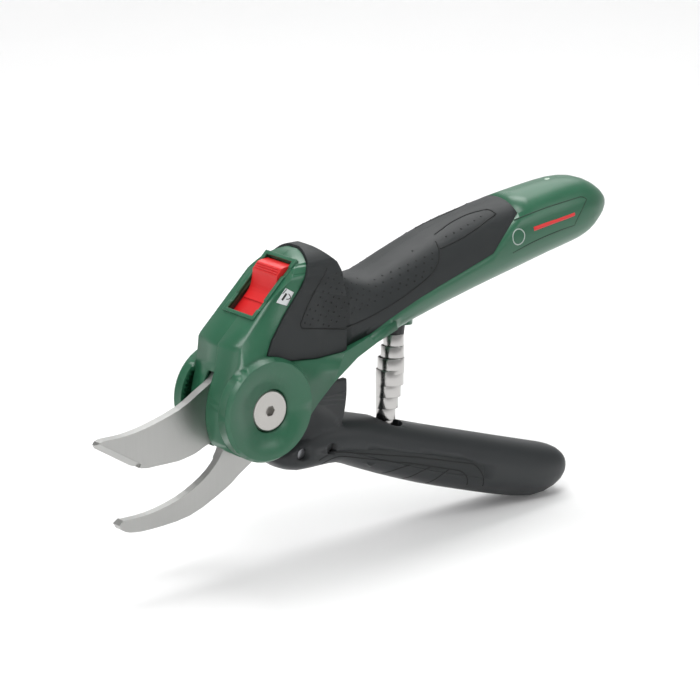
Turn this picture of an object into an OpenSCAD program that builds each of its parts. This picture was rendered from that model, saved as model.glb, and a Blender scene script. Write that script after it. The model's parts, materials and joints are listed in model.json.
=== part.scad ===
// Battery electric pruner: a bypass pruner whose upper handle holds a cell, a motor, a planetary
// gear and a screw that push the cutting blade. Millimetres. +X runs from the jaws to the tail,
// +Y to the side of the pivot nut, +Z up. The origin is on the pivot axis, in the shear plane.

/* [Jaws] */
// Thickness of the cutting blade
blade_t = 4; // [3.5:0.1:4]
// Thickness of the fixed hook
hook_t = 4.4; // [4:0.1:4.4]
// Angle that the lower handle and the blade turn through to close
jaw_travel = 27; // [24:0.5:27]

/* [Pivot] */
// Radius of the pivot bolt's shank
bolt_r = 4; // [3.6:0.1:4]
// Radius of the pivot bolt's head
bolt_head_r = 8.5; // [8:0.1:8.6]
// Radius of the round boss of each casing around the pivot
boss_r = 21.5; // [21.2:0.1:21.8]
// Half the width over the two flat boss faces
boss_y = 19.5; // [19.2:0.1:20]

/* [Drive] */
// Radius of the crank pin in the blade
crank_pin_r = 2; // [1.8:0.05:2]
// Lead of the screw
screw_lead = 1.5; // [1:0.25:2]
// Radius of the motor
motor_r = 10.2; // [10.1:0.05:10.3]

/* [Battery] */
// Radius of the cell
cell_r = 9.15; // [9:0.05:9.2]
// Length of the cell
cell_len = 63; // [60:0.5:64]

/* [Casing] */
// Wall of the casings
wall = 2.4; // [2.2:0.1:2.5]
// Thickness of the soft grips
grip_t = 1.5; // [1.2:0.1:1.6]
// Depth that the socket of the pivot bolt's head is sunk to
socket_depth = 2.6; // [2:0.1:3]

/* [Hidden] */
$fn = 64;
blade_y = [0.1, 0.1 + blade_t];
hook_y = [-0.1 - hook_t, -0.1];
half = jaw_travel / 2;

// The drive screw. Its axis lies in the plane y = 0, and s runs along it from the foot of the
// perpendicular from the pivot.
screw_slope = 14.5;
crank_r = 16;
axis_h = crank_r * (1 + cos(half)) / 2;
crank_s = crank_r * sin(half);
screw_r = 3;

// Planetary gear
gear_m = 0.4;
sun_z = 12;
planet_z = 15;
ring_z = sun_z + 2 * planet_z;
planet_a = gear_m * (sun_z + planet_z) / 2;

// Half widths in y
nose_w = 14.2;
cavity_w = nose_w - wall;
fin_w = [8, 10.3];
lever_w = 13;

// The slope on the nose that the lock slider runs along
slope = 43.9;

// Screws that join the casings: x, z
housing_screw_at = [[-7.2, 24], [42, 37], [54.5, 18.5], [108, 33.2], [180.5, 56.2]];
lever_screw_at = [[58, -33.5], [100, -45], [142, -58.5]];
rivet_at = [[22, -24.5], [36, -24.5]];

// ---- Curves ----
function cr(a, b, c, d, t) = 0.5 * (2 * b + (c - a) * t + (2 * a - 5 * b + 4 * c - d) * t * t
    + (3 * b - a - 3 * c + d) * t * t * t);
// The place at t, in steps from one point to the next, on a smooth line through the points p
function on_curve(p, t) = let (i = min(floor(t), len(p) - 2))
    cr(p[max(i - 1, 0)], p[i], p[i + 1], p[min(i + 2, len(p) - 1)], t - i);
function curve(p, n) = [for (k = [0 : n * (len(p) - 1)]) on_curve(p, k / n)];
function arc(r, a0, a1, n = 16) = [
    for (k = [0 : n]) let (a = a0 + (a1 - a0) * k / n) [r * cos(a), r * sin(a)],
];
function power(v, e) = sign(v) * pow(abs(v), 2 / e);

// ---- Frames ----
// Draws a side outline (x, z) as a slab from y[0] to y[1]
module slab(y) {
    translate([0, y[1], 0]) rotate([90, 0, 0]) linear_extrude(y[1] - y[0]) children();
}
// A cylinder along Y at p = [x, z]
module rod(p, r, y) {
    translate([p[0], y[1], p[1]]) rotate([90, 0, 0]) cylinder(r = r, h = y[1] - y[0]);
}
// Children drawn with the screw's axis as +Z and the place s as the origin
module on_screw(s = 0) {
    rotate([0, -screw_slope, 0]) translate([s, 0, axis_h]) rotate([0, 90, 0]) children();
}
// Children drawn with +X up the nose's slope and +Z out of it
module on_slope() {
    translate([0, 0, 37.55]) rotate([0, -slope, 0]) children();
}
// Children drawn with +X along the tail
module on_tail() {
    translate([140, 0, 50.6]) rotate([0, -9.8, 0]) children();
}
// Children drawn with +Z out of the tail's underside at the charging port
module on_port() {
    translate([178, 0, 44.2]) rotate([0, 162, 0]) children();
}
// Children drawn with +Z from the upper spring seat to the lower one
module on_spring() {
    translate([78.2, 0, 15.5]) rotate([0, 187.7, 0]) children();
}
// A tube on the Z axis
module tube(ro, ri, h) {
    difference() {
        cylinder(r = ro, h = h);
        translate([0, 0, -1]) cylinder(r = ri, h = h + 2);
    }
}
// A box given by its two far corners
module block(a, b) {
    translate(a) cube(b - a);
}
// A wire through the points p
module wire(p, r) {
    skin([for (i = [0 : len(p) - 1]) let (
        d = p[min(i + 1, len(p) - 1)] - p[max(i - 1, 0)],
        u = cross(d, [0, 1, 0]) / norm(cross(d, [0, 1, 0])),
        v = cross(d, u) / norm(d)
    ) [for (a = [0 : 36 : 359]) p[i] + r * (cos(a) * u + sin(a) * v)]], true);
}

// ---- Lofted bodies ----
// A station is [top x, top z, bottom x, bottom z, half width, how square the upper half is]
handle = [
    [33.3, 54.9, 39.2, 8.8, 15.0, 4],
    [43, 48.0, 47, 9.5, 15.2, 3.6],
    [52, 44.6, 54.5, 11.5, 15.6, 2.9],
    [61, 44.9, 64, 15, 16.0, 2.5],
    [76, 50.6, 80, 20.4, 16.5, 2.3],
    [98, 58.3, 102, 26, 16.5, 2.3],
    [115.5, 62.2, 120, 30.2, 16.3, 2.3],
    [133, 65.4, 137.5, 34, 15.9, 2.3],
    [151, 67.9, 155, 37.9, 15.5, 2.3],
    [165, 69.3, 168.5, 40.6, 15.0, 2.3],
    [175, 68.6, 177, 43, 13.8, 2.3],
    [182.5, 65.6, 183.2, 47.4, 11.4, 2.3],
    [187.6, 61.5, 187.6, 51.8, 8, 2.3],
    [190, 57.8, 190, 55.6, 3.5, 2.3],
];
lever = [
    [9, -24, 9.8, -26.4, 5],
    [12.5, -21.2, 14.5, -30.6, 9],
    [20, -16.8, 23, -33.4, 11.5],
    [32, -13.2, 34.5, -33.6, 12.5],
    [44, -13, 43.5, -34, lever_w],
    [56, -15.8, 52, -37.4, lever_w],
    [73, -21, 66, -43.4, lever_w],
    [95, -28.2, 87.5, -51.8, lever_w],
    [117, -35.1, 109, -59, lever_w],
    [139.5, -42.2, 131.5, -66, lever_w],
    [155, -47, 149, -70.2, 12.5],
    [163.5, -49.8, 160, -68.8, 11.3],
    [168, -52.6, 166.5, -65.3, 8.8],
    [169.8, -56.5, 170.3, -60.5, 4.5],
];
// The grip's lower edge at each of the handle's first stations, as an angle round the section
grip_edge = [-38, -28, -18, -9.5, -6, -4, 0, 40];
grip_end = len(grip_edge) - 1;
function edge_at(t) = let (i = min(floor(t), grip_end - 1), f = min(t - i, 1))
    grip_edge[i] * (1 - f) + grip_edge[i + 1] * f;

// A point of the section st at angle a, on side -1 or +1, drawn in by inset
function at(st, side, inset, a) = let (
    e = a > 0 && len(st) > 5 ? st[5] : 2.3,
    c = [(st[0] + st[2]) / 2, (st[1] + st[3]) / 2],
    h = [(st[0] - st[2]) / 2, (st[1] - st[3]) / 2],
    k = max(1 - inset / norm(h), 0.02),
    b = max(st[4] - inset, 0.3)
) [c[0] + h[0] * k * power(sin(a), e), side * b * power(cos(a), e), c[1] + h[1] * k * power(sin(a), e)];
function sweep(st, side, inset, a0, a1, n) = [
    for (k = [0 : n]) at(st, side, inset, a0 + (a1 - a0) * k / n),
];
// Joins equal closed rings into a solid. flip turns the faces out on the other side. The last
// ring may be split after its first `split` points, where a hollow ends before the outside does.
module skin(rings, flip, split = 0) {
    m = len(rings[0]);
    n = len(rings);
    z = (n - 1) * m;
    faces = concat(
        [for (i = [0 : n - 2], j = [0 : m - 1]) let (k = (j + 1) % m)
            each [[i * m + j, i * m + k, (i + 1) * m + k], [i * m + j, (i + 1) * m + k, (i + 1) * m + j]]],
        [for (j = [0 : m / 2 - 2]) [m - 1 - j, m - 2 - j, j + 1, j]],
        split == 0 ? [for (j = [0 : m / 2 - 2]) [z + j, z + j + 1, z + m - 2 - j, z + m - 1 - j]]
            : [[for (j = [0 : split - 1]) z + j], [for (j = [split : m - 1]) z + j],
                [z, z + split - 1, z + split, z + m - 1]]
    );
    polyhedron([for (r = rings, p = r) p],
        flip ? faces : [for (f = faces) [for (i = [len(f) - 1 : -1 : 0]) f[i]]], convexity = 6);
}
grip_steps = [for (k = [0 : 2 * grip_end]) k / 2];
tail_steps = [for (k = [2 * grip_end + 1 : 2 * (len(handle) - 1)]) k / 2];
module handle_shell(side) {
    steps = concat(grip_steps, [grip_end + 0.02], tail_steps);
    rings = [for (t = steps) let (
        st = on_curve(handle, t),
        low = t > grip_end ? 0 : grip_t,
        inner = on_curve(handle, t > 11 ? 11 + (t - 11) / 4 : t)
    ) concat(
        sweep(st, side, low, 90, edge_at(t), 8),
        sweep(st, side, 0, edge_at(t) - 0.6, -90, 8),
        sweep(inner, side, wall + low, -90, 90, 17)
    )];
    skin(rings, side > 0, 18);
}
module grip_shell(side) {
    skin([for (t = grip_steps) let (st = on_curve(handle, t)) concat(
        sweep(st, side, grip_t, 90, edge_at(t), 8),
        sweep(st, side, 0, edge_at(t), 90, 8)
    )], side < 0);
}
module lever_body(side) {
    skin([for (k = [0 : 2 * (len(lever) - 1)]) sweep(on_curve(lever, k / 2), side, 0, 90, -90, 15)],
        side > 0);
}

// ---- Casings ----
nose_front = [[-11.5, -18.3], [-15.5, -15.4], [-17.3, -11.5], [-18.3, -6.9], [-18.5, -2],
    [-17.8, 3], [-16.3, 8.5], [-14.1, 14.4], [-12.6, 21.5], [-11.9, 26.1]];
nose_top = [[15.5, 52.5], [20.5, 57], [25, 59.6], [29.5, 60], [34, 56.8], [38.5, 52.2]];
nose_back = [[41, 40], [41, 13.5]];
panel_low = [[33, 5.1], [25.4, -1.5], [17.8, -9.3], [13.7, -14]];
nose = concat(curve(nose_front, 2), curve(nose_top, 3), nose_back, panel_low, arc(21, -47, -122, 12));
cavity = concat(
    arc(18.6, -60, -122, 8),
    [[-14, -12.5], [-16, -6.5], [-16.1, -2], [-15.4, 3], [-13.9, 8.5], [-11.7, 14.8], [-10.3, 21.8], [-9.7, 24.9]],
    [[15.9, 49.3], [21, 54], [26, 57.2], [29.5, 57.3], [33, 54.5], [37, 50.2], [48, 42], [48, 0]],
    [[24, -14]]
);
panel = concat([[1, 19], [0, -20], [7, -17.8], [13.7, -14], [25.4, -1.5], [33, 5.1], [45.9, 13.8], [56, 18.2], [67, 21.9]],
    [[66, 25.6], [51.8, 21.4], [38.9, 16.9], [26.2, 16.2], [11.1, 17.6], [5, 20]]);
// The nose from above, narrower at the front
nose_plan = [[-20, -10.6], [-17, -11.4], [-10.5, -nose_w], [30, -nose_w], [37, -13.2], [50, -13.2],
    [50, 13.2], [37, 13.2], [30, nose_w], [-10.5, nose_w], [-17, 11.4], [-20, 10.6]];
// The grip's outline on the nose
nose_grip = [[1.5, 21.8], [3.7, 27.6], [10.2, 37.2], [17.8, 46.3], [23.6, 55], [26.4, 62], [36, 62],
    [38.5, 52], [41, 40], [41, 17.2], [26.2, 16.6], [11.1, 18], [5, 20.4]];

// The rounded cross-section of the nose, r bigger or smaller than the green surface
module nose_section(y, r = 0) {
    w = nose_w + r;
    block([-25, y[0], -25], [45, y[1], 45]);
    intersection() {
        translate([-25, 0, 44.8]) rotate([0, 90, 0]) cylinder(r = w + 1, h = 75);
        block([-25, max(y[0], -w), 44], [50, min(y[1], w), 65]);
    }
}
function on_side(side, a, b) = side > 0 ? [a, b] : [-b, -a];
module nose_shell(side) {
    difference() {
        intersection() {
            slab(on_side(side, 0, nose_w)) polygon(nose);
            nose_section(on_side(side, 0, nose_w));
            translate([0, 0, -30]) linear_extrude(100) polygon(nose_plan);
        }
        intersection() {
            slab(on_side(side, -1, cavity_w)) polygon(cavity);
            nose_section(on_side(side, -1, cavity_w), -wall);
        }
    }
}
// The round boss at the pivot and the raised panel that runs back from it
module boss(side) {
    difference() {
        union() {
            intersection() {
                slab(on_side(side, nose_w - 1, 17.4)) polygon(panel);
                translate([10, 0, 0]) rotate([0, 0, -side * 1.4]) block([-40, -17.6, -30], [80, 17.6, 40]);
            }
            rod([0, 0], boss_r, on_side(side, 12.9, 17.6));
            rotate([side * -90, 0, 0]) translate([0, 0, 17.6])
                cylinder(r1 = boss_r, r2 = boss_r - 1.2, h = boss_y - 17.6);
            rod([0, 0], 11.6, on_side(side, 9, boss_y));
        }
        difference() {
            rod([0, 0], boss_r - wall, on_side(side, cavity_w, boss_y - wall));
            rod([0, 0], 11.6, on_side(side, 0, boss_y));
        }
    }
    rod([0, 0], 8, on_side(side, side > 0 ? blade_y[1] + 0.55 : -hook_y[0], 12));
}
// Ribs that hold the cell, the motor, the gear, the bearing and the switch
module ribs() {
    for (s = [86, 103]) on_screw(s) cylinder(r = 12.3, h = 2);
    on_screw(57.6) tube(11.5, 6.5, 2.6);
    on_tail() for (x = [-22, 18]) translate([x, 0, 1.5]) rotate([0, 90, 0]) tube(12.6, cell_r, 2);
    on_slope() for (s = [-1, 1]) block([12, s > 0 ? 3.2 : -13, -12.6], [18, s > 0 ? 13 : -3.2, -10.6]);
}
module screw_bosses(side) {
    for (p = housing_screw_at) rod(p, p[0] > 170 ? 4.2 : 2.9, on_side(side, 0, p[0] > 100 || side > 0 ? 9.8 : 10.9));
    if (side > 0) for (k = [0, 1]) rod(housing_screw_at[k], 4.2, [6.6, 9.8]);
}
// Everything that both casings have cut out of them
module casing_holes() {
    // Room for the lever's fin and the blade's tang
    slab([-10.8, 10.8]) polygon(concat(arc(45.7, -60, 33.5, 24), arc(23.7, 33.5, -60, 12)));
    slab([-0.3, blade_y[1] + 0.5]) polygon(concat([[6, -10], [8, 6]], arc(30, 12, -105, 16)));
    rod(crank_place(half), 4.9, [-0.3, blade_y[1] + 0.5]);
    // The gear and the motor, and the switch's leads beside them
    on_screw(65.9) cylinder(r = motor_r, h = 42.3);
    on_screw(0) block([-1.2, -12, 57], [1.2, 12, 106]);
    // The circuit board
    on_tail() block([-24, -6.4, -11.5], [34, 6.4, -8.7]);
    // The lock slider's window, and a shallow step round it
    on_slope() block([-1, -8.5, -7], [26.5, 8.5, 12]);
    // The head and shank of the pivot bolt
    rod([0, 0], bolt_r + 0.05, [-30, 30]);
    rod([0, 0], bolt_head_r + 0.7, [-30, -14.4]);
    rod([0, 0], bolt_head_r + 0.7, [14.4, 30]);
    rod([0, 0], 5.55, [-10, 4.7]);
    // The seat of the spring
    on_spring() translate([0, 0, -8]) cylinder(r = 4, h = 8);
    // The charging port and its cover, and the charge light
    on_port() block([-3.5, -5.5, -1.5], [4.4, 5.5, 12]);
    on_port() block([-1.9, -4.7, -12], [1.9, 4.7, 2]);
    on_tail() translate([24, 0, 0]) cylinder(r = 1.2, h = 30);
}
module casing(side) {
    difference() {
        union() {
            nose_shell(side);
            boss(side);
            difference() {
                handle_shell(side);
                block([0, -40, -20], [39.5, 40, 90]);
            }
            intersection() {
                ribs();
                block([0, side > 0 ? 0 : -40, 0], [200, side > 0 ? 40 : 0, 80]);
            }
            screw_bosses(side);
            on_spring() translate([0, 0, -8.6]) intersection() {
                cylinder(r = 7, h = 4.4);
                block([-9, side > 0 ? 0 : -9, -9], [9, side > 0 ? 9 : 0, 9]);
            }
        }
        casing_holes();
        if (side < 0) hook_passage();
        else blade_passage();
        for (p = housing_screw_at) {
            rod(p, 1.2, [-9, 0.1]);
            if (side > 0) rod(p, 1.65, [-0.1, 8]);
            if (side > 0) rod(p, 3.1, [7.5, 25]);
        }
    }
}
// Where the hook comes out at the bottom of the left casing
module hook_passage() {
    slab([hook_y[0], 1]) polygon([[-24, -13.5], [-15.2, -19], [-12.5, -11], [4, -10], [4, -30], [-24, -30]]);
    slab([hook_y[0], 1]) polygon(hook_line);
}
// The tall slot that the blade moves in at the front of the right casing
module blade_passage() {
    slab([-1, blade_y[1] + 0.5]) polygon([[-24, 14.4], [-11, 14.4], [-11, -8], [-4, -14], [4, -30], [-24, -30]]);
}
module housing_left() {
    color([0.12, 0.38, 0.25]) casing(-1);
}
module housing_right() {
    color([0.12, 0.38, 0.25]) casing(1);
}

// ---- Soft grips ----
module nose_grip_part(side) {
    t = grip_t - 0.3;
    difference() {
        intersection() {
            slab(on_side(side, 0, nose_w + t)) polygon(nose_grip);
            nose_section(on_side(side, 0, nose_w + t), t);
            slab([-30, 30]) polygon(concat([[0, 10], [0, 36]], [for (p = curve(nose_top, 3)) p + [0.6, 1.1]],
                [[41, 40], [41, 10]]));
        }
        intersection() {
            slab([-nose_w, nose_w]) polygon(concat(nose_front, curve(nose_top, 3), [[60, 40], [60, 0]]));
            nose_section([-nose_w, nose_w]);
        }
        handle_core(side);
    }
}
// The handle's front end filled in, to trim what lies on the nose to its outside
module handle_core(side) {
    skin([for (t = grip_steps) if (t < 2) sweep(on_curve(handle, t), side, grip_t, 90, -90, 17)], side > 0);
}
module soft_grip(side) {
    difference() {
        union() {
            difference() {
                grip_shell(side);
                block([0, -40, -20], [41, 40, 90]);
            }
            nose_grip_part(side);
        }
        boss_room(side);
        if (side > 0) for (p = housing_screw_at) rod(p, 3.1, [7.5, 25]);
    }
}
// The raised panel and boss, which the grip stops at
module boss_room(side) {
    slab(on_side(side, 13, 20)) polygon(panel);
    rod([0, 0], boss_r, on_side(side, 13, 20));
}
module soft_grip_left() {
    color([0.12, 0.14, 0.14]) soft_grip(-1);
}
module soft_grip_right() {
    color([0.12, 0.14, 0.14]) soft_grip(1);
}
module housing_screws() {
    color([0.6, 0.6, 0.62]) for (p = housing_screw_at) difference() {
        union() {
            rod(p, 1.2, [-8.5, 7.5]);
            rod(p, 2.8, [7.5, 9.5]);
        }
        rod(p, 1.1, [8.3, 9.6]);
    }
}

// ---- Jaws and pivot ----
hook_line = concat(
    curve([[-61.5, -37.2], [-49.1, -36.9], [-34.6, -33.6], [-22.3, -27.4], [-15.3, -20.8], [-12.5, -14.5], [-10.5, -5]], 3),
    arc(11.3, 155, -20, 12),
    [[13, -11], [8.5, -19]],
    curve([[1.6, -24.6], [-5, -28.8], [-12.5, -33.9], [-29.8, -41.5], [-49.2, -43.3], [-58.7, -42.6], [-62.6, -40.8]], 3),
    [[-63.8, -38.7]]
);
module hook_jaw() {
    color([0.75, 0.76, 0.78]) difference() {
        slab(hook_y) polygon(hook_line);
        rod([0, 0], 5.55, [-10, 1]);
        for (p = [[9, -9], [-8.5, -8.5]]) rod(p, 1.5, [-10, 1]);
        // Ground relief along the inner edge
        slab([-0.9, 0.5]) polygon(concat(
            curve([[-61.5, -36], [-49.1, -35.7], [-34.6, -32.4], [-22.3, -26.2], [-15.3, -19.6]], 3),
            reverse(curve([[-60.5, -38.4], [-49.1, -38], [-34.6, -34.7], [-22.3, -28.6], [-15.3, -22]], 3))));
    }
}
function reverse(p) = [for (i = [len(p) - 1 : -1 : 0]) p[i]];
module hook_dowels() {
    color([0.6, 0.6, 0.62]) for (p = [[9, -9], [-8.5, -8.5]]) rod(p, 1.5, [hook_y[0] - 4, hook_y[1]]);
}
blade_line = concat(
    curve([[-69.9, -6.1], [-67.4, -4.4], [-57.2, -4.3], [-45.3, -2.4], [-30.8, 1.9], [-21, 7.2], [-14.7, 10.9],
        [-11.2, 14.8]], 3),
    arc_at([-7.5 + 7.22, 16], 4.4, 170, 20, 8),
    [[7, 12], [12, 4], [14.5, -6]],
    [[21, -18.8], [40, -20], [43, -22.5], [43, -27], [40, -29], [20, -29.5], [9, -22]],
    arc(16.5, -80, -130, 6),
    curve([[-14, -14.4], [-18.4, -15.6], [-23.3, -17.7], [-29.2, -19], [-37, -20], [-44.7, -19.7], [-52.3, -18.2],
        [-59.8, -14.7], [-65.4, -11.5], [-69.1, -7.9]], 3)
);
function arc_at(c, r, a0, a1, n) = [for (p = arc(r, a0, a1, n)) p + c];
// The crank pin's place when the jaws have turned through a from the middle of their travel
function crank_place(a) = [crank_r * cos(90 + screw_slope + a), crank_r * sin(90 + screw_slope + a)];
crank_at = crank_place(-half);
module cutting_blade() {
    color([0.75, 0.76, 0.78]) difference() {
        slab(blade_y) polygon(blade_line);
        rod([0, 0], 5.6, [-1, 6]);
        rod(crank_at, crank_pin_r, [-1, 6]);
        for (p = rivet_at) rod(p, 1.5, [-1, 6]);
        // The bevel ground on the outer side of the cutting edge
        translate([0, blade_y[1], 0]) rotate([-22, 0, 0]) block([-80, -3, -60], [-20, 30, -19.5]);
        translate([-69, blade_y[1], -6.5]) rotate([0, 32, 0]) rotate([-30, 0, 0]) block([-20, -4, -30], [22, 20, -1]);
    }
}
module pivot_bolt() {
    color([0.8, 0.8, 0.8]) difference() {
        union() {
            rod([0, 0], bolt_r, [-15, 18.4]);
            rotate([90, 0, 0]) translate([0, 0, 14.4]) cylinder(r = bolt_head_r, h = 3.6);
            rotate([90, 0, 0]) translate([0, 0, 18]) cylinder(r1 = bolt_head_r, r2 = bolt_head_r - 0.6, h = 0.6);
        }
        translate([0, -18.7 + socket_depth, 0]) rotate([90, 0, 0]) linear_extrude(6) circle(r = 2.31, $fn = 6);
    }
}
module pivot_nut() {
    color([0.6, 0.6, 0.62]) difference() {
        union() {
            rod([0, 0], bolt_head_r, [14.4, 15.6]);
            translate([0, 19, 0]) rotate([90, 0, 0]) linear_extrude(3.4) circle(r = 7.5, $fn = 6);
        }
        rod([0, 0], bolt_r, [10, 22]);
    }
}
module pivot_bush() {
    color([0.72, 0.58, 0.3]) rotate([-90, 0, 0]) translate([0, 0, hook_y[0]]) tube(5.5, bolt_r + 0.05, blade_y[1] - hook_y[0]);
}
module thrust_washer() {
    color([0.6, 0.6, 0.62]) rotate([-90, 0, 0]) translate([0, 0, blade_y[1] + 0.05]) tube(8, bolt_r + 0.1, 0.45);
}

// ---- Lock and switch ----
module lock_slider() {
    color([0.85, 0.12, 0.12]) on_slope() {
        block([-4, -10, -4.7], [22, 10, -2.9]);
        block([21, -8, -4.7], [27, 8, -2.9]);
        translate([0, 8.2, 0]) rotate([90, 0, 0]) linear_extrude(16.4) polygon(concat(
            [[6.8, -3], [6.8, -2.4]], curve([[8, -2.4], [12, -1.9], [16, 0.6], [18, 2.2]], 3),
            [[21.5, 2.4], [23, 1.6], [25.8, -0.8], [26.2, -3]]));
    }
}
module lock_bar() {
    color([0.5, 0.5, 0.52]) on_slope() block([1, -2.5, -13], [3.5, 2.5, -4.7]);
}
module switch_knob() {
    color([0.1, 0.1, 0.1]) on_slope() block([19, -1.5, -7.6], [21, 1.5, -4.7]);
}
module power_switch() {
    color([0.1, 0.1, 0.1]) on_slope() block([10, -3.2, -13.4], [22, 3.2, -8]);
}
module detent_spring() {
    color([0.7, 0.7, 0.7]) on_slope() {
        block([10, 5, -8.4], [18, 8, -8]);
        block([12, 3.2, -10.6], [14, 8, -8.4]);
    }
}
module lock_label() {
    color([0.8, 0.8, 0.8]) slab([-nose_w - 0.2, -nose_w]) polygon([[6.4, 42.8], [11.2, 48], [15.2, 45.6], [11.6, 40.6]]);
}

// ---- Drive ----
module crank_pin() {
    color([0.6, 0.6, 0.62]) rod(crank_at, crank_pin_r, [-7.2, 8]);
}
module screw_nut() {
    color([0.8, 0.8, 0.75]) difference() {
        union() {
            on_screw(27) block([-5.5, -6.4, 0], [5.5, 7.4, 14]);
            for (y = [-3.6, 7.4]) on_screw(0) translate([0, y, 0]) rotate([90, 0, 0]) linear_extrude(2.8)
                polygon([[-3.6, 28], [-3.6, 2.2], [-1.6, 0.4], [1.6, 0.4], [3.6, 2.2], [3.6, 28]]);
        }
        on_screw(26) cylinder(r = screw_r + 0.08, h = 16);
        on_screw(crank_s) rotate([90, 0, 0]) for (x = [-0.35, 0, 0.35]) translate([x, 0, -20]) cylinder(r = crank_pin_r + 0.12, h = 40);
    }
}
module drive_screw() {
    color([0.6, 0.6, 0.62]) on_screw(0) {
        rotate_extrude() polygon(concat([[0, 18], [2.4, 18]],
            [for (k = [0 : 25]) each [[screw_r, 19 + k * 1.5], [screw_r - 0.5, 19.6 + k * 1.5]]],
            [[2.4, 57.2], [screw_r, 57.4], [screw_r, 60.4], [5, 60.4], [5, 62.4], [screw_r, 62.4], [screw_r, 68.6], [0, 68.6]]));
    }
}
module screw_bearing() {
    color([0.72, 0.58, 0.3]) on_screw(57.6) tube(6.5, screw_r + 0.05, 2.6);
}
// A gear outline with trapezoid teeth; m is negative for teeth that point inward
module gear_2d(z, m, turn = 0) {
    r = abs(m) * z / 2;
    polygon([for (k = [0 : z - 1], q = [[-0.27, -0.9], [-0.11, 0.7], [0.11, 0.7], [0.27, -0.9]])
        let (a = (k + q[0]) * 360 / z + turn) [(r + m * q[1]) * cos(a), (r + m * q[1]) * sin(a)]]);
}
module planet_carrier() {
    color([0.7, 0.7, 0.7]) on_screw(68.6) {
        difference() {
            cylinder(r = 7.4, h = 1.8);
            translate([0, 0, -1]) cylinder(r = 0.5, h = 4);
        }
        for (k = [0 : 2]) rotate([0, 0, 120 * k]) translate([planet_a, 0, 1.8]) cylinder(r = 1, h = 5.4);
    }
}
module planet(k) {
    color([0.85, 0.8, 0.6]) on_screw(70.6) rotate([0, 0, 120 * k]) translate([planet_a, 0, 0]) linear_extrude(5) difference() {
        gear_2d(planet_z, gear_m);
        circle(r = 1.06);
    }
}
module planet_gear_1() {
    planet(0);
}
module planet_gear_2() {
    planet(1);
}
module planet_gear_3() {
    planet(2);
}
module sun_gear() {
    color([0.72, 0.58, 0.3]) on_screw(70.8) linear_extrude(6) difference() {
        gear_2d(sun_z, gear_m);
        circle(r = 1);
    }
}
module ring_gear() {
    color([0.3, 0.3, 0.32]) {
        on_screw(66) tube(motor_r, screw_r + 0.3, 1.6);
        on_screw(67.6) tube(motor_r, 9.2, 2.8);
        on_screw(70.4) linear_extrude(5.4) difference() {
            circle(r = motor_r);
            gear_2d(ring_z, -gear_m, 180 / ring_z);
        }
        on_screw(75.8) tube(motor_r, 9.2, 3.2);
    }
}
module motor_can() {
    color([0.65, 0.65, 0.67]) {
        on_screw(79) tube(motor_r, 1.1, 1.5);
        on_screw(80.5) tube(motor_r, motor_r - 1, 25.5);
    }
}
module motor_magnets() {
    color([0.25, 0.25, 0.27]) on_screw(84) difference() {
        tube(motor_r - 1, motor_r - 2.6, 18);
        block([-1.5, -20, -1], [1.5, 20, 20]);
    }
}
module motor_rotor() {
    color([0.6, 0.4, 0.25]) on_screw(0) rotate_extrude() polygon([[0, 70.8], [1, 70.8], [1, 84], [7.2, 84], [7.2, 102],
        [3, 102], [3, 105], [1, 105], [1, 107.5], [0, 107.5]]);
}
module motor_end_cap() {
    color([0.15, 0.15, 0.16]) {
        on_screw(106) tube(motor_r - 0.3, 1.1, 2);
        on_screw(108) for (s = [-1, 1]) block([-1.2, s * 6 - 0.3, 0], [1.2, s * 6 + 0.3, 2.5]);
    }
}

// ---- Battery and board ----
module battery_cell() {
    color([0.2, 0.35, 0.6]) on_tail() translate([-30.5, 0, 1.5]) rotate([0, 90, 0]) {
        cylinder(r = cell_r, h = cell_len);
        translate([0, 0, cell_len]) cylinder(r = 3, h = 0.8);
    }
}
module battery_tabs() {
    color([0.8, 0.8, 0.8]) on_tail() {
        block([-30.8, -2.5, -8.6], [-30.5, 2.5, 6]);
        block([cell_len - 29.7, -2.5, -6.4], [cell_len - 29.4, 2.5, 6]);
    }
}
module cell_pads() {
    color([0.1, 0.1, 0.1]) on_tail() difference() {
        translate([-10, 0, 1.5]) rotate([0, 90, 0]) tube(10.2, cell_r, 6);
        block([-20, -20, -12], [0, 20, -4]);
    }
}
module circuit_board() {
    color([0.1, 0.4, 0.2]) on_tail() block([-23, -6.4, -9.9], [33, 6.4, -8.7]);
}
module board_parts() {
    color([0.15, 0.15, 0.15]) on_tail() {
        block([-18, -4, -11], [-11, 1, -9.9]);
        block([-6, -3, -11.1], [-1, 3, -9.9]);
        block([5, -4, -11], [10, 4, -9.9]);
        for (x = [22, 26]) block([x, -1, -10.7], [x + 2, 1, -9.9]);
    }
}
module usb_socket() {
    color([0.75, 0.75, 0.76]) on_port() difference() {
        block([-1.6, -4.5, -6], [1.6, 4.5, -1.2]);
        block([-1.3, -4.2, -5.2], [1.3, 4.2, 0]);
    }
}
module charge_light() {
    color([0.8, 0.95, 0.8]) on_tail() translate([24, 0, 11.2]) cylinder(r = 1.2, h = 3.4);
}
module port_cover() {
    color([0.1, 0.1, 0.1]) on_port() {
        block([-2.95, -5.2, -1.2], [3.1, 5.2, 0.6]);
        translate([3.1, 5.2, -0.3]) rotate([90, 0, 0]) cylinder(r = 0.95, h = 10.4);
        block([-2.95, -2.2, 0.6], [-1.3, 2.2, 2.6]);
    }
}
module motor_leads() {
    color([0.7, 0.1, 0.1]) for (y = [-6, 6]) {
        a = on_axis(111.3);
        wire([[a[0], y, a[1]], [a[0] + 2, y, a[1] - 4], [115.6, y * 0.7, 38.2], [118.6, y * 0.7, 38]], 0.7);
    }
}
function on_axis(s) = [s * cos(screw_slope) - axis_h * sin(screw_slope), s * sin(screw_slope) + axis_h * cos(screw_slope)];
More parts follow.
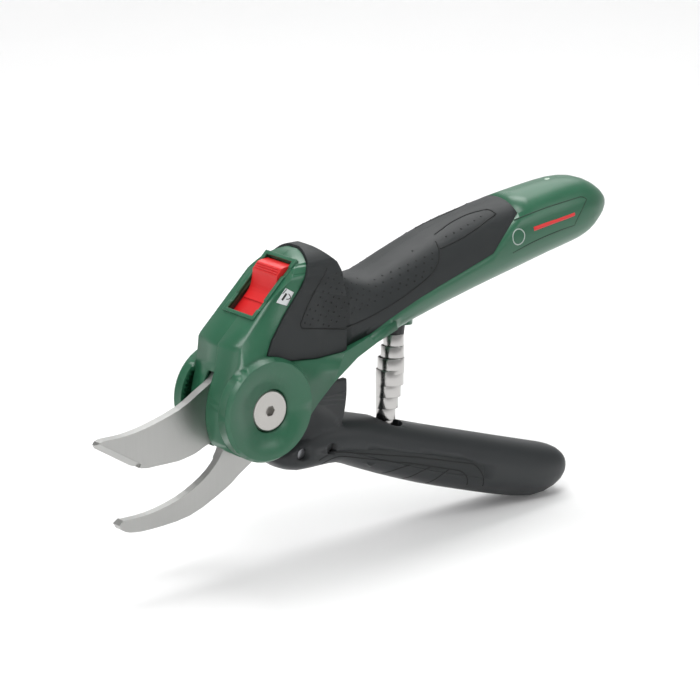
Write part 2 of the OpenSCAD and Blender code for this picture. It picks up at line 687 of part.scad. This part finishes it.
module switch_leads() {
    color([0.1, 0.1, 0.1]) for (y = [-1.4, 1.4]) wire([[24, y, 40.8], [33, y * 3.5, 42.2], [42, y * 4, 41.2],
        [46.6, y * 4.3, 40.2], [47.9, y * 6.3, 36], [50, y * 7.4, 29.5], [58, y * 7.9, 31.3], [78, y * 7.9, 36.5], [101, y * 7.9, 42.4],
        [108, y * 6.4, 40.5], [113.5, y * 4.4, 38.6], [118.5, y * 4.07, 37.8]], 0.6);
}
module battery_leads() {
    color([0.7, 0.1, 0.1]) on_tail() wire([[-31.6, 0, -3], [-31.6, 0, -9.2], [-23.8, 0, -9.2]], 0.7);
}

// ---- Lower handle ----
module fin(side) {
    slab(on_side(side, fin_w[0], fin_w[1])) polygon(concat(arc(45, -30, 4.5, 12), arc(24.8, 4.5, -42, 10)));
    slab(on_side(side, 0, fin_w[1])) polygon(concat(arc(45, -25, -2, 10), arc(43, -2, -25, 10)));
}
module lever_half(side) {
    difference() {
        union() {
            lever_body(side);
            fin(side);
            for (p = lever_screw_at) rod(p, 2.9, on_side(side, 0, 11));
        }
        difference() {
            slab(on_side(side, -1, 8)) polygon([[50, -20], [73, -26], [95, -34], [117, -41], [139, -48], [157, -54.5],
                [156, -62.5], [130, -59], [109, -53], [88, -46], [66, -38], [50, -31]]);
            for (p = lever_screw_at) rod(p, 2.9, [-9, 9]);
        }
        // The pocket that holds the tang
        if (side > 0) slab([-1, blade_y[1]]) polygon(blade_line);
        // The mouth round the spring
        on_spring() translate([0, 0, 30]) cylinder(r = 7.6, h = 14);
        for (p = lever_screw_at) {
            rod(p, 1.2, [-9, 0.1]);
            if (side > 0) rod(p, 1.65, [-0.1, 9]);
            if (side > 0) rod(p, 3.1, [8.6, 25]);
        }
        for (p = rivet_at) {
            rod(p, 1.5, [-8, 8]);
            rod(p, 2.6, [7, 25]);
            rod(p, 2.6, [-25, -7]);
        }
        slab(on_side(side, 12.2, 20)) polygon(lever_pad_line);
    }
}
lever_pad_line = [[37.4, -25.9], [60.4, -29.2], [87.2, -36.8], [109.1, -43.6], [116.4, -47.2], [117.4, -53], [114.9, -57.4],
    [104, -54.6], [80, -46.6], [60, -39.4], [48, -35], [39, -32.5]];
module lever_left() {
    color([0.13, 0.14, 0.15]) lever_half(-1);
}
module lever_right() {
    color([0.13, 0.14, 0.15]) lever_half(1);
}
module lever_pad(side) {
    intersection() {
        lever_body(side);
        slab(on_side(side, 12.2, 20)) polygon(lever_pad_line);
    }
}
module lever_pad_left() {
    color([0.2, 0.2, 0.2]) lever_pad(-1);
}
module lever_pad_right() {
    color([0.2, 0.2, 0.2]) difference() {
        lever_pad(1);
        for (p = lever_screw_at) rod(p, 3.1, [7.5, 25]);
    }
}
module lever_screws() {
    color([0.6, 0.6, 0.62]) for (p = lever_screw_at) difference() {
        union() {
            rod(p, 1.2, [-8.5, 8.6]);
            rod(p, 2.8, [8.6, 10.6]);
        }
        rod(p, 1.1, [9.4, 10.7]);
    }
}
module tang_rivets() {
    color([0.6, 0.6, 0.62]) for (p = rivet_at) {
        rod(p, 1.5, [-7, 7]);
        for (y = [[-8.6, -7], [7, 8.6]]) rod(p, 2.5, y);
    }
}

// ---- Spring ----
module spring_seat_upper() {
    color([0.2, 0.2, 0.2]) on_spring() translate([0, 0, -6]) cylinder(r = 4, h = 7);
}
module spring_seat_lower() {
    color([0.2, 0.2, 0.2]) on_spring() translate([0, 0, 42]) cylinder(r = 6, h = 2);
}
module volute_spring() {
    color([0.75, 0.75, 0.76]) on_spring() rotate_extrude() polygon(concat(
        [for (k = [0 : 7]) each [[4.4 + spring_bulge(k), 1 + k * 5], [4.8 + spring_bulge(k), 6 + k * 5]]],
        [for (k = [7 : -1 : 0]) each [[3.9 + spring_bulge(k), 6 + k * 5], [3.5 + spring_bulge(k), 1 + k * 5]]]));
}
function spring_bulge(k) = 1.4 * sin(180 * k / 7);

housing_left();
housing_right();
soft_grip_left();
soft_grip_right();
housing_screws();
hook_jaw();
hook_dowels();
cutting_blade();
pivot_bolt();
pivot_nut();
pivot_bush();
thrust_washer();
lock_slider();
lock_bar();
lock_label();
detent_spring();
power_switch();
switch_knob();
switch_leads();
crank_pin();
screw_nut();
drive_screw();
screw_bearing();
planet_carrier();
planet_gear_1();
planet_gear_2();
planet_gear_3();
sun_gear();
ring_gear();
motor_can();
motor_magnets();
motor_rotor();
motor_end_cap();
motor_leads();
battery_cell();
battery_tabs();
battery_leads();
cell_pads();
circuit_board();
board_parts();
usb_socket();
charge_light();
port_cover();
lever_left();
lever_right();
lever_pad_left();
lever_pad_right();
lever_screws();
tang_rivets();
spring_seat_upper();
spring_seat_lower();
volute_spring();
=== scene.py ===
# %% [markdown]
# A battery electric pruner lies on a pale floor. A frame of exact parts is loaded first: it holds every
# piece at its real size and place. The looks are built round it: mould seams, soft grips, ground steel and
# printed foil. Lengths are in metres, +X runs from the jaws to the tail, and +Z is up.

# %% Load the frame
import json
import math
import bpy
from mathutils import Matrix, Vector


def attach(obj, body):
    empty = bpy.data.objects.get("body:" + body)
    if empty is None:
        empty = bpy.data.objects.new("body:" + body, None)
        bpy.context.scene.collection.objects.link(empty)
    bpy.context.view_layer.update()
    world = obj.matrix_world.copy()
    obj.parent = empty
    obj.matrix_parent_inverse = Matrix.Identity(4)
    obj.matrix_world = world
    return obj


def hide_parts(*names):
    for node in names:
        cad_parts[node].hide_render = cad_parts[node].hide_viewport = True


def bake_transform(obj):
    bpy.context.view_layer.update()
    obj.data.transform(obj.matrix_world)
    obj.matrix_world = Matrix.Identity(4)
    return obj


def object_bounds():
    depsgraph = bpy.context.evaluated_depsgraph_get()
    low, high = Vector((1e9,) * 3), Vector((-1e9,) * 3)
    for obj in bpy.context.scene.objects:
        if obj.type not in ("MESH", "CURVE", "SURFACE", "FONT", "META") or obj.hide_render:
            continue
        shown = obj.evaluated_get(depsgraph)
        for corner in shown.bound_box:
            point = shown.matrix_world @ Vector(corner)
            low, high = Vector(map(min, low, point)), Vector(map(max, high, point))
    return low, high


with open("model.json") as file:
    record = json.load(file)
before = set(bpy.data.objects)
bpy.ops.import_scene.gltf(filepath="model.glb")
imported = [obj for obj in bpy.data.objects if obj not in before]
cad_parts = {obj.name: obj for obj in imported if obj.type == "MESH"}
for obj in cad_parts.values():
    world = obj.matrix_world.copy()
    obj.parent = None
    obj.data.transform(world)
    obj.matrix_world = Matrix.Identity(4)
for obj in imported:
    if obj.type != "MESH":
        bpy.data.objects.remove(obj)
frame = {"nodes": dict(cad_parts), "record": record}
cad_lo, cad_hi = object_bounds()
scene = bpy.context.scene
print("frame box", [round(v, 4) for v in (*cad_lo, *cad_hi)])

# %% [markdown]
# The camera looks from the front left and a little above, from 1.3 m away, so the lens is long and the jaws
# and the tail come out nearly the same size. The aim point is near the middle of the tool.

# %% Camera
AZIMUTH, ELEVATION, DISTANCE = math.radians(-37.7), math.radians(16.0), 1.3
level = math.cos(ELEVATION)
back = Vector((math.sin(AZIMUTH) * level, -math.cos(AZIMUTH) * level, math.sin(ELEVATION)))
aim = Vector((0.050, 0, 0.010))
camera = bpy.data.objects.new("camera", bpy.data.cameras.new("camera"))
scene.collection.objects.link(camera)
camera.location = aim + back * DISTANCE
camera.rotation_euler = back.to_track_quat("Z", "Y").to_euler()
camera.data.sensor_width = 36
camera.data.lens = 162.5
camera.data.shift_x = 0.0129
camera.data.shift_y = 0.0081
camera.data.clip_start, camera.data.clip_end = 0.05, 20
scene.camera = camera
print("lens", camera.data.lens, "mm")

# %% [markdown]
# A studio table is a floor that curves up behind the tool, so there is no horizon line. A plane is added,
# its far edge is extruded up, and the corner is bevelled round. Its paint is nearly white.

# %% Floor
def clear_selection():
    if bpy.context.mode != "OBJECT":
        bpy.ops.object.mode_set(mode="OBJECT")
    bpy.ops.object.select_all(action="DESELECT")


clear_selection()
floor_z = cad_lo.z - 0.0005
bpy.ops.mesh.primitive_plane_add(size=8, location=(0, 0, floor_z))
floor = bpy.context.active_object
floor.name = "floor"
bpy.ops.object.transform_apply(location=True, rotation=True, scale=True)
for edge in floor.data.edges:
    edge.select = all(floor.data.vertices[i].co.y > 0 for i in edge.vertices)
bpy.ops.object.mode_set(mode="EDIT")
bpy.ops.mesh.select_mode(type="EDGE")
bpy.ops.mesh.extrude_region_move(TRANSFORM_OT_translate={"value": (0, 0, 6)})
bpy.ops.object.mode_set(mode="OBJECT")
curve_up = floor.modifiers.new("curve_up", "BEVEL")
curve_up.width, curve_up.segments = 2.0, 24
bpy.ops.object.modifier_apply(modifier="curve_up")
bpy.ops.object.shade_smooth()
print("floor at", round(floor_z, 4))

# %% [markdown]
# Shader maths reads best as plain expressions. The class below wraps a socket, so that 1 - mask adds a Math
# node, and its node method makes any other node from its type, its settings and the values of its sockets.

# %% Shader sockets as numbers
class Sock:
    def __init__(self, tree, socket):
        self.tree, self.socket = tree, socket

    def maths(self, operation, *values):
        return self.node("ShaderNodeMath", {"operation": operation}, {i: v for i, v in enumerate(values)})[0]

    def node(self, kind, settings=None, sockets=None):
        made = self.tree.nodes.new(kind)
        for key, value in (settings or {}).items():
            setattr(made, key, value)
        for key, value in (sockets or {}).items():
            if isinstance(value, Sock):
                self.tree.links.new(value.socket, made.inputs[key])
            elif value is not None:
                made.inputs[key].default_value = value
        return [Sock(self.tree, s) for s in made.outputs]

    def __add__(self, other):
        return self.maths("ADD", self, other)

    def __radd__(self, other):
        return self.maths("ADD", other, self)

    def __sub__(self, other):
        return self.maths("SUBTRACT", self, other)

    def __rsub__(self, other):
        return self.maths("SUBTRACT", other, self)

    def __mul__(self, other):
        return self.maths("MULTIPLY", self, other)

    def __rmul__(self, other):
        return self.maths("MULTIPLY", other, self)


def blank(name):
    material = bpy.data.materials.new(name)
    material.use_nodes = True
    tree = material.node_tree
    shader = tree.nodes["Principled BSDF"]
    here = Sock(tree, tree.nodes.new("ShaderNodeTexCoord").outputs["Object"])
    return material, tree, shader, here


def noise(here, scale, detail=3.0, rough=0.5, stretch=(1, 1, 1), turn=0.0):
    placed = {"Vector": here, "Rotation": (0, turn, 0), "Scale": stretch}
    where = here.node("ShaderNodeMapping", None, placed)[0]
    sockets = {"Vector": where, "Scale": scale, "Detail": detail, "Roughness": rough}
    return here.node("ShaderNodeTexNoise", None, sockets)[0]


def blend_colours(here, mask, first, second):
    return here.node("ShaderNodeMix", {"data_type": "RGBA"}, {0: mask, 6: (*first, 1), 7: (*second, 1)})[2]


def feed(tree, shader, colour, rough):
    if colour is not None:
        tree.links.new(colour.socket, shader.inputs["Base Color"])
    tree.links.new(rough.socket, shader.inputs["Roughness"])


def grain_bump(tree, shader, here, height, strength, depth, edge):
    rounded = here.node("ShaderNodeBevel", {"samples": 4}, {"Radius": edge})[0]
    sockets = {"Strength": strength, "Distance": depth, "Height": height, "Normal": rounded}
    raised = here.node("ShaderNodeBump", None, sockets)[0]
    tree.links.new(raised.socket, shader.inputs["Normal"])


print("shader helpers ready")

# %% [markdown]
# The casings are green nylon filled with glass fibre. It leaves the mould with a fine even grain and a
# satin gloss, and handling polishes it a little in patches. A bump from fine noise and a slow change of
# roughness show both.

# %% Moulded plastics
def plastic(name, colour, rough, grain=2600, depth=0.00003, edge=0.0005, patch=0.06, shade=0.12):
    material, tree, shader, here = blank(name)
    slow = noise(here, 55, 4)
    fine = noise(here, grain, 2, 0.6)
    darker = tuple(c * (1 - shade) for c in colour)
    feed(tree, shader, blend_colours(here, slow, darker, colour), rough - patch + slow * (2 * patch))
    grain_bump(tree, shader, here, fine, 0.35, depth, edge)
    return material


green_nylon = plastic("green_nylon", (0.020, 0.118, 0.060), 0.36)
green_nylon.node_tree.nodes["Principled BSDF"].inputs["Coat Weight"].default_value = 0.15
green_nylon.node_tree.nodes["Principled BSDF"].inputs["Coat Roughness"].default_value = 0.25
black_nylon = plastic("black_nylon", (0.011, 0.014, 0.016), 0.44)
soft_black = plastic("soft_black", (0.009, 0.012, 0.013), 0.58, grain=3800, depth=0.00005)
red_plastic = plastic("red_plastic", (0.72, 0.018, 0.020), 0.34)
dark_plastic = plastic("dark_plastic", (0.02, 0.02, 0.022), 0.5)
acetal = plastic("acetal", (0.75, 0.70, 0.55), 0.35)
board_green = plastic("board_green", (0.02, 0.16, 0.06), 0.4)
cell_sleeve = plastic("cell_sleeve", (0.05, 0.14, 0.40), 0.3)
print("plastics", green_nylon.name, soft_black.name, red_plastic.name)

# %% [markdown]
# The blade and the hook are ground across, which leaves fine straight scratches. The noise is stretched a
# hundred times along the scratches. Bright plated parts are smooth, with faint handling marks.

# %% Metals
def metal(name, colour, rough, stretch=(1, 1, 1), turn=0.0, scale=900,
          depth=0.00001, spread=0.10, edge=0.0003):
    material, tree, shader, here = blank(name)
    shader.inputs["Metallic"].default_value = 1.0
    lines = noise(here, scale, 4, 0.7, stretch, turn)
    slow = noise(here, 40, 3)
    lighter = tuple(min(1, c * 1.12) for c in colour)
    roughness = rough - spread + lines * spread + slow * spread
    feed(tree, shader, blend_colours(here, lines, colour, lighter), roughness)
    grain_bump(tree, shader, here, lines, 0.3, depth, edge)
    return material


ground_steel = metal("ground_steel", (0.40, 0.40, 0.39), 0.38, (1, 0.02, 0.02), math.radians(25))
satin_bolt = metal("satin_bolt", (0.46, 0.45, 0.43), 0.36, scale=1500)
bright_steel = metal("bright_steel", (0.48, 0.47, 0.46), 0.22, (0.05, 0.05, 1), scale=500)
zinc_steel = metal("zinc_steel", (0.45, 0.46, 0.48), 0.38)
bronze = metal("bronze", (0.55, 0.38, 0.16), 0.40)
dark_steel = metal("dark_steel", (0.12, 0.12, 0.13), 0.45)
winding = metal("winding", (0.50, 0.22, 0.09), 0.42)
foil = metal("foil", (0.62, 0.63, 0.64), 0.42, scale=400)
light_pipe, light_tree, light_shader, light_here = blank("light_pipe")
feed(light_tree, light_shader, None, 0.12 + noise(light_here, 900) * 0.06)
light_shader.inputs["Base Color"].default_value = (0.72, 0.92, 0.75, 1)
light_shader.inputs["Transmission Weight"].default_value = 0.5
print("metals", ground_steel.name, bright_steel.name)

# %% [markdown]
# Each exact piece gets the finish of its own material slot in the record.

# %% Finishes by slot
FINISH = {"casing": green_nylon, "soft": soft_black, "lever": black_nylon, "red": red_plastic, "black": dark_plastic,
          "steel": ground_steel, "bright": bright_steel, "dark": dark_steel, "zinc": zinc_steel, "magnet": dark_steel,
          "bronze": bronze, "copper": winding, "gear": acetal, "label": foil, "cell": cell_sleeve,
          "board": board_green, "light": light_pipe}
SLOT = {s["node"]: s["material_slot"] for s in frame["record"]["subparts"]}
BODY = {node: body for body, nodes in frame["record"]["behaviour"]["bodies"].items() for node in nodes}
for name, piece in frame["nodes"].items():
    for material_slot in piece.material_slots:
        material_slot.material = FINISH[SLOT[name]]
frame["nodes"]["pivot_bolt"].material_slots[0].material = satin_bolt
print(len(frame["nodes"]), "exact pieces have a finish")

# %% [markdown]
# The visible shells come as loose triangles, which shade as flat facets. A copy of each has its doubles
# merged and its gentle edges shaded smooth, so light runs over it as over a moulded surface. The copy
# stands for the piece.

# %% Dress the visible shells
def dress(node, angle=32):
    clear_selection()
    source = frame["nodes"][node]
    copy = source.copy()
    copy.data = source.data.copy()
    copy.name = node + "_skin"
    scene.collection.objects.link(copy)
    copy.parent = None
    copy.matrix_world.identity()
    bpy.context.view_layer.objects.active = copy
    copy.select_set(True)
    bpy.ops.object.mode_set(mode="EDIT")
    bpy.ops.mesh.select_all(action="SELECT")
    bpy.ops.mesh.remove_doubles(threshold=0.000002)
    bpy.ops.object.mode_set(mode="OBJECT")
    bpy.ops.object.shade_smooth_by_angle(angle=math.radians(angle))
    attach(copy, BODY[node])
    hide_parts(node)
    return copy


skins = {}
for shell in ("housing", "soft_grip", "lever"):
    for half in ("left", "right"):
        skins[f"{shell}_{half}"] = dress(f"{shell}_{half}")
print("dressed", ", ".join(skins))

# %% [markdown]
# Moulded lines are drawn on a surface from a few corners of its side view, in millimetres. Each stretch
# between two corners may bow out by a stated height. Every place on the line is dropped onto the surface,
# and one vertex is extruded from place to place. The chain becomes a thin round bead, half sunk, like the
# step round a moulded pad.

# %% Beads on a surface
def bowed(*corners, closed=False, steps=12):
    line = []
    ends = corners[1:] + corners[:1] if closed else corners[1:]
    for (x, z, bow), (x_to, z_to, _) in zip(corners, ends):
        run, rise = x_to - x, z_to - z
        length = math.hypot(run, rise)
        for k in range(steps):
            t = k / steps
            off = 4 * bow * t * (1 - t) / length
            line.append((x + run * t - rise * off, z + rise * t + run * off))
    return line + [corners[0][:2] if closed else corners[-1][:2]]


def ring(x, z, radius, count=32):
    turns = [2 * math.pi * k / count for k in range(count + 1)]
    return [(x + radius * math.cos(a), z + radius * math.sin(a)) for a in turns]


def drop(targets, x, z, side):
    start, way = Vector((x, side * 0.05, z)), Vector((0, -side, 0))
    hits = [t.ray_cast(start, way, distance=0.06) for t in targets]
    hits = [h for h in hits if h[0]]
    return max(hits, key=lambda h: side * h[1].y)[1:3] if hits else None


def bead(name, targets, points, radius, side, body, paint, closed=False, sink=0.3):
    found = [drop(targets, x * 0.001, z * 0.001, side) for x, z in points]
    spots = [spot - normal * radius * sink for spot, normal in (f for f in found if f)]
    clear_selection()
    bpy.ops.mesh.primitive_plane_add(size=0.0001, location=spots[0])
    line = bpy.context.active_object
    bpy.ops.object.transform_apply(location=True, rotation=True, scale=True)
    bpy.ops.object.mode_set(mode="EDIT")
    bpy.ops.mesh.select_mode(type="VERT")
    bpy.ops.mesh.select_all(action="SELECT")
    bpy.ops.mesh.merge(type="CENTER")
    for a, b in zip(spots, spots[1:]):
        bpy.ops.mesh.extrude_vertices_move(TRANSFORM_OT_translate={"value": b - a})
    if closed:
        bpy.ops.mesh.select_all(action="SELECT")
        bpy.ops.mesh.remove_doubles(threshold=0.00002)
    bpy.ops.object.mode_set(mode="OBJECT")
    bpy.ops.object.convert(target="CURVE")
    line.data.bevel_depth = radius
    line.data.bevel_resolution = 2
    line.data.use_fill_caps = True
    bpy.ops.object.convert(target="MESH")
    bpy.ops.object.shade_smooth()
    line.name = name
    line.data.materials.clear()
    line.data.materials.append(paint)
    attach(line, body)
    return line


def join(name, pieces, body):
    clear_selection()
    for piece in pieces:
        piece.select_set(True)
    bpy.context.view_layer.objects.active = pieces[0]
    bpy.ops.object.join()
    bpy.ops.object.transform_apply(location=True, rotation=True, scale=True)
    pieces[0].name = name
    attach(pieces[0], body)
    return pieces[0]


print("a bead can be drawn on any surface")

# %% [markdown]
# Each soft grip has two pads with a grooved outline. A front pad covers the neck, and a rear pad starts
# where it ends. Dimples lie in staggered rows 4 mm apart inside both. The outline and the dimples are
# raised beads and small proud spheres, painted a darker black than the grip: painted shade in place of
# grooves and recesses.

# %% Pads of the soft grips
# This black is painted shade: darker and duller than the grip, put on raised beads and dots so that they read as
# shaded grooves and dimples.
groove_shade_black = plastic("groove_shade_black", (0.004, 0.005, 0.005), 0.75, grain=3000)
FRONT_PAD = bowed((32, 53, -1), (18, 33, -1), (20, 30, 0), (40, 26.5, -2), (84, 42, -1.5), (92, 54, 0))
FRONT_TOP = [(78, 52), (52, 46.5), (44, 49.5)]
REAR_PAD = bowed((94, 56, 1), (122, 62.5, 0.5), (124, 61, 0), (104, 54.5, 0), (92, 51.5, 0))


def inside(points, x, z):
    turn = 0
    for (x0, z0), (x1, z1) in zip(points, points[1:] + points[:1]):
        if (z0 > z) != (z1 > z) and x < x0 + (z - z0) * (x1 - x0) / (z1 - z0):
            turn += 1
    return turn % 2 == 1


for side, label in ((-1, "left"), (1, "right")):
    surface = [skins["soft_grip_" + label]]
    # Each pad outline is a raised bead painted with the darker black: painted shade along the groove.
    edges = [bead(f"pad_edge_{k}_{label}", surface, points, 0.00036, side, "housing", groove_shade_black)
             for k, points in enumerate((FRONT_PAD, REAR_PAD))]
    join("pad_edges_" + label, edges, "housing")
    dots = []
    for row in range(24):
        for column in range(40):
            x = 20 + 4.0 * column + 2.0 * (row % 2) - row * 0.7
            z = 26 + 2.1 * row + column * 1.05
            near = [(x + dx, z + dz) for dx in (-1.1, 1.1) for dz in (-1.0, 1.0)]
            if not any(all(inside(pad, *p) for p in near) for pad in (FRONT_PAD + FRONT_TOP, REAR_PAD)):
                continue
            found = drop(surface, x * 0.001, z * 0.001, side)
            if not found or abs(found[1].y) < 0.25:
                continue
            clear_selection()
            # Each dimple is a small sphere standing about 0.2 mm proud, painted with the darker black: painted shade
            # in place of a recess.
            bpy.ops.mesh.primitive_uv_sphere_add(segments=12, ring_count=6, radius=0.0008,
                                                 location=found[0] - found[1] * 0.00062)
            bpy.ops.object.shade_smooth()
            bpy.context.active_object.data.materials.append(groove_shade_black)
            dots.append(bpy.context.active_object)
    join("pad_dimple_shade_" + label, dots, "housing")
    print(label, "pad has", len(dots), "dimples")

# %% [markdown]
# The tail has a shallow panel on each side with a long pointed outline, a plain ring badge and a plain red
# bar. The lower handle has a side pad with a double outline, and three curved grooves to hold the fingers.

# %% Tail panels and lever grooves
green_shadow = plastic("green_shadow", (0.006, 0.040, 0.020), 0.55)
badge_grey = plastic("badge_grey", (0.42, 0.50, 0.46), 0.45)
TAIL = bowed((131, 58, 0.5), (168, 62.5, 0.5), (172, 61, -0.5), (164, 51, -1), (129, 44.5, 0))
RED_BAR = bowed((140.5, 53, 0), (164, 56, 0))
BADGE = ring(132, 51, 3.3)
LEVER_PAD = bowed((30, -28.5, 1), (40, -26.5, 0), (80, -36.5, 0), (111, -45.5, 1.5), (118.5, -57.5, 0))
LEVER_PAD_INNER = bowed((33, -31, 1), (42, -29, 0), (80, -39.5, 0), (103, -47, 1.5), (110, -55.5, 0))
FINGERS = [bowed((77 + 10.5 * k, -39.5 - 3 * k, -1), (65 + 12.5 * k, -43.5 - 4.6 * k, 0)) for k in range(3)]
for side, label in ((-1, "left"), (1, "right")):
    casing = [skins["housing_" + label]]
    bead("tail_edge_" + label, casing, TAIL, 0.0003, side, "housing", green_shadow, sink=0.5)
    bead("badge_" + label, casing, BADGE, 0.00028, side, "housing", badge_grey, closed=True, sink=0.2)
    bead("bar_" + label, casing, RED_BAR, 0.0013, side, "housing", red_plastic, sink=0.75)
    lever = [skins["lever_" + label], frame["nodes"]["lever_pad_" + label]]
    # The lever's pad outlines and finger grooves are raised beads painted with the darker black: painted shade along
    # the grooves.
    grooves = [bead(f"lever_groove_{k}_{label}", lever, points, 0.0003, side, "lever", groove_shade_black, sink=0.4)
               for k, points in enumerate([LEVER_PAD, LEVER_PAD_INNER, *FINGERS])]
    join("lever_grooves_" + label, grooves, "lever")
print("tail panels and lever grooves on both sides")

# %% [markdown]
# The return spring is a strip of steel wound into a volute: its turns overlap like the steps of a
# telescope, widest in the middle. Each turn is an open cylinder that leans a little, with a thickness and
# rounded edges.

# %% Volute spring
SPRING_TOP = Vector((0.0782, 0, 0.0155))
SPRING_WAY = Vector((math.sin(math.radians(187.7)), 0, math.cos(math.radians(187.7))))
RADII = [4.3, 4.9, 5.7, 5.9, 5.3, 4.7, 4.1, 3.6]
turns = []
for k, radius in enumerate(RADII):
    clear_selection()
    bpy.ops.mesh.primitive_cylinder_add(vertices=48, radius=radius * 0.001, depth=0.0066,
                                        end_fill_type="NOTHING",
                                        location=SPRING_TOP + SPRING_WAY * (0.0040 + 0.0050 * k),
                                        rotation=(math.radians(3), math.radians(187.7 - 5), 0))
    turn = bpy.context.active_object
    bpy.ops.object.transform_apply(location=True, rotation=True, scale=True)
    wall = turn.modifiers.new("wall", "SOLIDIFY")
    wall.thickness, wall.offset = 0.0005, -1
    bpy.ops.object.modifier_apply(modifier="wall")
    soft = turn.modifiers.new("soft", "BEVEL")
    soft.width, soft.segments, soft.limit_method = 0.00012, 2, "ANGLE"
    bpy.ops.object.modifier_apply(modifier="soft")
    bpy.ops.object.shade_smooth_by_angle(angle=math.radians(40))
    turn.data.materials.append(bright_steel)
    turns.append(turn)
clear_selection()
for turn in turns:
    turn.select_set(True)
bpy.context.view_layer.objects.active = turns[0]
bpy.ops.object.join()
spring = turns[0]
spring.name = "spring_turns"
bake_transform(spring)
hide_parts("volute_spring")
print("spring has", len(turns), "turns")

# %% [markdown]
# The window of the lock slider has a raised rim with chamfered corners. A block on the nose's slope is
# bored through with a smaller one. Fine ribs on the slider's step give the thumb a hold.

# %% Window rim and thumb ribs
SLOPE = math.radians(43.9)
SLOPE_FOOT = 37.55


def on_slope(u, y, w):
    x = u * math.cos(SLOPE) - w * math.sin(SLOPE)
    z = SLOPE_FOOT + u * math.sin(SLOPE) + w * math.cos(SLOPE)
    return Vector((x, y, z)) * 0.001


def slope_box(name, low, high, paint=None):
    middle = [(a + b) / 2 for a, b in zip(low, high)]
    clear_selection()
    bpy.ops.mesh.primitive_cube_add(size=1, location=on_slope(*middle), rotation=(0, -SLOPE, 0),
                                    scale=[(b - a) * 0.001 for a, b in zip(low, high)])
    box = bpy.context.active_object
    box.name = name
    bpy.ops.object.transform_apply(location=True, rotation=True, scale=True)
    if paint:
        box.data.materials.append(paint)
    return box


def cut(piece, tool):
    clear_selection()
    piece.select_set(True)
    bpy.context.view_layer.objects.active = piece
    bite = piece.modifiers.new("bite", "BOOLEAN")
    bite.object, bite.operation, bite.solver = tool, "DIFFERENCE", "EXACT"
    bpy.ops.object.modifier_apply(modifier="bite")
    bpy.data.objects.remove(tool, do_unlink=True)


def round_off(piece, width, segments=3):
    clear_selection()
    piece.select_set(True)
    bpy.context.view_layer.objects.active = piece
    soft = piece.modifiers.new("soft", "BEVEL")
    soft.width, soft.segments, soft.limit_method = width, segments, "ANGLE"
    bpy.ops.object.modifier_apply(modifier="soft")
    bpy.ops.object.shade_smooth_by_angle(angle=math.radians(40))


rim = slope_box("window_rim", (-2.6, -10.4, -0.8), (28.2, 10.4, 0.9), green_nylon)
cut(rim, slope_box("bore", (-1, -8.5, -3), (26.5, 8.5, 3)))
for place in (4.5, 21.5):
    cut(rim, slope_box("step", (place - 2.2, -14, 0.35), (place + 2.2, 14, 3)))
round_off(rim, 0.00035)
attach(rim, "housing")
ribs = [slope_box(f"rib_{k}", (18.6 + k, -7.6, 1.6), (19.0 + k, 7.6, 2.75), red_plastic) for k in range(3)]
for rib in ribs:
    round_off(rib, 0.00015, 2)
join("slider_ribs", ribs, "lock")
print("rim and ribs are on the nose")

# %% [markdown]
# The foil label on the nose shows a generic closed padlock: a solid body, a bent bow, and a short bar
# beside them along the slide.

# %% Lock pictogram
label_black = plastic("label_black", (0.01, 0.01, 0.01), 0.5)
foil_face = [skins["housing_left"], frame["nodes"]["lock_label"]]
SIGN = [("body", bowed((9.3, 43.3, 0), (11.5, 45.7, 0)), 0.00075, 0.7),
        ("bow", bowed((11.4, 43.4, -1.6), (12.6, 45.4, 0)), 0.00022, 0.3),
        ("bar", bowed((9.6, 45.9, 0), (11.6, 47.4, 0)), 0.0002, 0.3)]
marks = [bead("mark_" + part, foil_face, line, thick, -1, "housing", label_black, sink=sunk)
         for part, line, thick, sunk in SIGN]
join("lock_pictogram", marks, "housing")
print("pictogram", len(marks), "parts")


# %% [markdown]
# The light is a studio's: a big soft box up on the left, a weaker one on the right, one overhead for the
# long highlight on the handle, one that lifts the floor behind the tool, and a pale room all round. The
# floor is nearly white and glows a little, so that it stays pale far from the lamps.

# %% Lights and floor paint
def soft_box(name, place, size, power, look=(0.05, 0, 0.01)):
    lamp = bpy.data.objects.new(name, bpy.data.lights.new(name, "AREA"))
    scene.collection.objects.link(lamp)
    lamp.data.shape = "RECTANGLE"
    lamp.data.size, lamp.data.size_y = size
    lamp.data.energy = power
    lamp.location = place
    lamp.rotation_euler = (Vector(place) - Vector(look)).to_track_quat("Z", "Y").to_euler()


soft_box("key", (-0.7, -0.5, 1.1), (0.6, 0.6), 9)
soft_box("fill", (0.9, -1.1, 0.6), (0.6, 0.5), 2.5)
soft_box("top", (0.25, 0.25, 1.2), (0.9, 0.5), 11)
soft_box("front", (-1.1, -0.3, 0.15), (0.3, 0.5), 1.2)
soft_box("behind", (1.5, 1.8, 1.8), (2.4, 2.4), 32, (1.4, 1.7, 0))
world = bpy.data.worlds.new("room")
scene.world = world
world.use_nodes = True
world.node_tree.nodes["Background"].inputs["Color"].default_value = (0.95, 0.97, 1.0, 1)
world.node_tree.nodes["Background"].inputs["Strength"].default_value = 0.45
paint, paint_tree, paint_shader, paint_here = blank("floor_paint")
whites = blend_colours(paint_here, noise(paint_here, 6), (0.80, 0.80, 0.80), (0.82, 0.82, 0.82))
feed(paint_tree, paint_shader, whites, 0.8 + noise(paint_here, 30) * 0.1)
paint_shader.inputs["Emission Color"].default_value = (1, 1, 1, 1)
paint_shader.inputs["Emission Strength"].default_value = 0.06
floor.data.materials.append(paint)
scene.view_settings.view_transform = "Standard"
